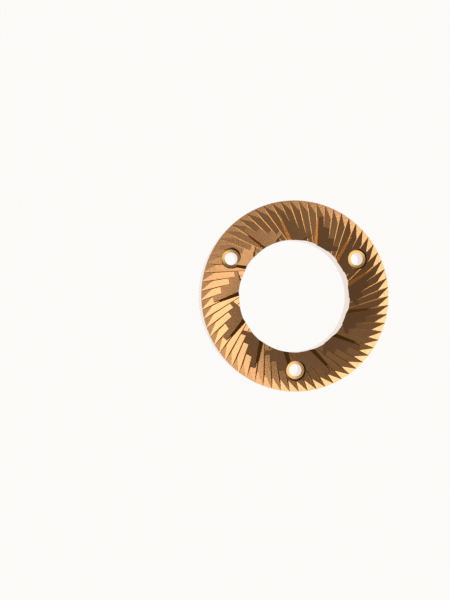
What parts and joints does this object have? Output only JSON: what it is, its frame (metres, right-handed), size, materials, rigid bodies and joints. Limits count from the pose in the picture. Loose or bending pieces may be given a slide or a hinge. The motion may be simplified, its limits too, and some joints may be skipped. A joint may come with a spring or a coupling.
{
  "type": "coffee grinder burr",
  "caption": "Flat steel grinder burr, a ring with saw-like teeth on one face and three sunk screw holes.",
  "frame": {"origin": "centre of the bore at the burr's flat mounting back", "axes": "+Z along the bore axis, from the mounting back towards the teeth; the screw holes are at 30, 150 and 270 degrees from +X"},
  "size_m": [0.064, 0.064, 0.0085],
  "materials": {
    "coated_steel": "satin"
  },
  "bodies": {
    "root": {"burr": "coated_steel"}
  },
  "joints": []
}
